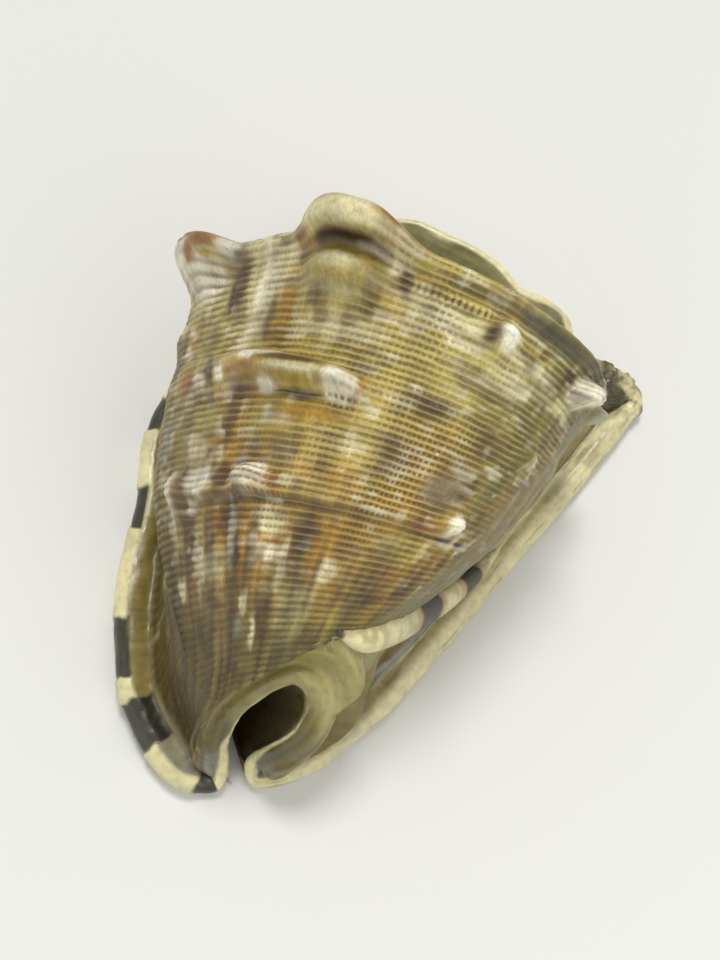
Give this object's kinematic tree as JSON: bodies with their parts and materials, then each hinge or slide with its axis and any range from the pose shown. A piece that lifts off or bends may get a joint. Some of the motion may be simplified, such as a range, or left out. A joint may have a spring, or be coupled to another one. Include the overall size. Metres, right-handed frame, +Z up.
{
  "type": "helmet sea snail shell",
  "caption": "Large three-sided helmet shell with knobbed whorls, a low spire, a broad flat base shield, a narrow aperture and an upturned front canal.",
  "frame": {"origin": "middle of the footprint's box on the table, at the flat underside", "axes": "+Y from the front canal towards the spire, +X towards the shield's side (right, seen from above with the canal towards the viewer), +Z up from the flat underside"},
  "size_m": [0.1534, 0.1891, 0.1164],
  "materials": {
    "shell": "semi-gloss natural shell, ochre and brown with cream bars"
  },
  "bodies": {
    "root": {"shell": "shell"}
  },
  "joints": []
}
